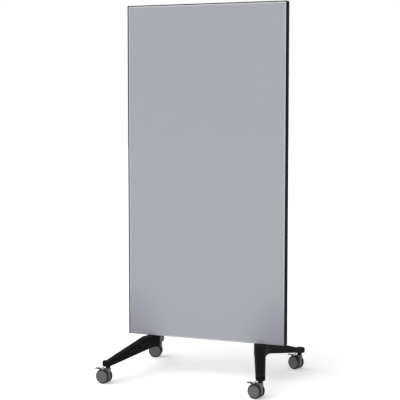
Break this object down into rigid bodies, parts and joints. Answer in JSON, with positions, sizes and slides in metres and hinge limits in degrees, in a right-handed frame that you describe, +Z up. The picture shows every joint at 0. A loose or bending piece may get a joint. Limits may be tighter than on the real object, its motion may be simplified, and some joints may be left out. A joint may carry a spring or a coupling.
{
  "type": "partition wall",
  "caption": "Mobile double-sided glass partition board in a black frame, on two splayed cast feet with braked twin-wheel casters.",
  "frame": {"origin": "on the floor, under the middle of the board, at the centre of the rectangle of the four caster stems", "axes": "+X along the width of the board, -Y out of its front glass, +Z up"},
  "size_m": [0.9284, 0.7337, 1.95],
  "materials": {
    "grey_glass": "gloss",
    "sheet_steel": "satin",
    "honeycomb": "matte",
    "black_profile": "satin",
    "black_cap": "matte",
    "plated_steel": "satin",
    "bolt_steel": "satin",
    "black_casting": "satin",
    "stem_black": "satin",
    "housing_grey": "satin",
    "wheel_grey": "satin",
    "tread": "matte",
    "pedal_grey": "satin"
  },
  "bodies": {
    "root": {"front_glass": "grey_glass", "rear_glass": "grey_glass", "front_steel_sheet": "sheet_steel", "rear_steel_sheet": "sheet_steel", "core_board": "honeycomb", "left_stile": "black_profile", "right_stile": "black_profile", "top_rail": "black_profile", "bottom_rail": "black_profile", "top_left_cap": "black_cap", "top_right_cap": "black_cap", "bottom_left_cap": "black_cap", "bottom_right_cap": "black_cap", "top_left_bracket": "plated_steel", "top_right_bracket": "plated_steel", "bottom_left_bracket": "plated_steel", "bottom_right_bracket": "plated_steel", "left_foot": "black_casting", "right_foot": "black_casting", "left_foot_anchor": "plated_steel", "right_foot_anchor": "plated_steel", "left_foot_bolts": "bolt_steel", "right_foot_bolts": "bolt_steel", "front_left_stem": "stem_black", "front_right_stem": "stem_black", "back_left_stem": "stem_black", "back_right_stem": "stem_black"},
    "front_left_swivel": {"front_left_housing": "housing_grey", "front_left_axle": "plated_steel", "front_left_pedal_pin": "plated_steel"},
    "front_left_roller_a": {"front_left_wheel_a": "wheel_grey", "front_left_tyre_a": "tread"},
    "front_left_roller_b": {"front_left_wheel_b": "wheel_grey", "front_left_tyre_b": "tread"},
    "front_left_rocker": {"front_left_pedal": "pedal_grey"},
    "front_right_swivel": {"front_right_housing": "housing_grey", "front_right_axle": "plated_steel", "front_right_pedal_pin": "plated_steel"},
    "front_right_roller_a": {"front_right_wheel_a": "wheel_grey", "front_right_tyre_a": "tread"},
    "front_right_roller_b": {"front_right_wheel_b": "wheel_grey", "front_right_tyre_b": "tread"},
    "front_right_rocker": {"front_right_pedal": "pedal_grey"},
    "back_left_swivel": {"back_left_housing": "housing_grey", "back_left_axle": "plated_steel", "back_left_pedal_pin": "plated_steel"},
    "back_left_roller_a": {"back_left_wheel_a": "wheel_grey", "back_left_tyre_a": "tread"},
    "back_left_roller_b": {"back_left_wheel_b": "wheel_grey", "back_left_tyre_b": "tread"},
    "back_left_rocker": {"back_left_pedal": "pedal_grey"},
    "back_right_swivel": {"back_right_housing": "housing_grey", "back_right_axle": "plated_steel", "back_right_pedal_pin": "plated_steel"},
    "back_right_roller_a": {"back_right_wheel_a": "wheel_grey", "back_right_tyre_a": "tread"},
    "back_right_roller_b": {"back_right_wheel_b": "wheel_grey", "back_right_tyre_b": "tread"},
    "back_right_rocker": {"back_right_pedal": "pedal_grey"}
  },
  "joints": [
    {"name": "front_left_swivel_turn", "type": "hinge", "parent": "root", "child": "front_left_swivel", "pos_m": [-0.4135, -0.331, 0.08], "axis": [0, 0, 1], "continuous": true},
    {"name": "front_left_roller_a_spin", "type": "hinge", "parent": "front_left_swivel", "child": "front_left_roller_a", "pos_m": [-0.43644, -0.3294, 0.0375], "axis": [0.0698, 0.9976, 0], "continuous": true},
    {"name": "front_left_roller_b_spin", "type": "hinge", "parent": "front_left_swivel", "child": "front_left_roller_b", "pos_m": [-0.43644, -0.3294, 0.0375], "axis": [0.0698, 0.9976, 0], "continuous": true},
    {"name": "front_left_brake", "type": "hinge", "parent": "front_left_swivel", "child": "front_left_rocker", "pos_m": [-0.4534, -0.32821, 0.0575], "axis": [-0.0698, -0.9976, 0], "range_deg": [0, 12]},
    {"name": "front_right_swivel_turn", "type": "hinge", "parent": "root", "child": "front_right_swivel", "pos_m": [0.4135, -0.331, 0.08], "axis": [0, 0, 1], "continuous": true},
    {"name": "front_right_roller_a_spin", "type": "hinge", "parent": "front_right_swivel", "child": "front_right_roller_a", "pos_m": [0.39078, -0.3274, 0.0375], "axis": [0.1564, 0.9877, 0], "continuous": true},
    {"name": "front_right_roller_b_spin", "type": "hinge", "parent": "front_right_swivel", "child": "front_right_roller_b", "pos_m": [0.39078, -0.3274, 0.0375], "axis": [0.1564, 0.9877, 0], "continuous": true},
    {"name": "front_right_brake", "type": "hinge", "parent": "front_right_swivel", "child": "front_right_rocker", "pos_m": [0.37399, -0.32474, 0.0575], "axis": [-0.1564, -0.9877, 0], "range_deg": [0, 12]},
    {"name": "back_left_swivel_turn", "type": "hinge", "parent": "root", "child": "back_left_swivel", "pos_m": [-0.4135, 0.331, 0.08], "axis": [0, 0, 1], "continuous": true},
    {"name": "back_left_roller_a_spin", "type": "hinge", "parent": "back_left_swivel", "child": "back_left_roller_a", "pos_m": [-0.43561, 0.32466, 0.0375], "axis": [-0.2756, 0.9613, 0], "continuous": true},
    {"name": "back_left_roller_b_spin", "type": "hinge", "parent": "back_left_swivel", "child": "back_left_roller_b", "pos_m": [-0.43561, 0.32466, 0.0375], "axis": [-0.2756, 0.9613, 0], "continuous": true},
    {"name": "back_left_brake", "type": "hinge", "parent": "back_left_swivel", "child": "back_left_rocker", "pos_m": [-0.45195, 0.31998, 0.0575], "axis": [0.2756, -0.9613, 0], "range_deg": [0, 12]},
    {"name": "back_right_swivel_turn", "type": "hinge", "parent": "root", "child": "back_right_swivel", "pos_m": [0.4135, 0.331, 0.08], "axis": [0, 0, 1], "continuous": true},
    {"name": "back_right_roller_a_spin", "type": "hinge", "parent": "back_right_swivel", "child": "back_right_roller_a", "pos_m": [0.39163, 0.33811, 0.0375], "axis": [0.309, 0.9511, 0], "continuous": true},
    {"name": "back_right_roller_b_spin", "type": "hinge", "parent": "back_right_swivel", "child": "back_right_roller_b", "pos_m": [0.39163, 0.33811, 0.0375], "axis": [0.309, 0.9511, 0], "continuous": true},
    {"name": "back_right_brake", "type": "hinge", "parent": "back_right_swivel", "child": "back_right_rocker", "pos_m": [0.37546, 0.34336, 0.0575], "axis": [-0.309, -0.9511, 0], "range_deg": [0, 12]}
  ]
}
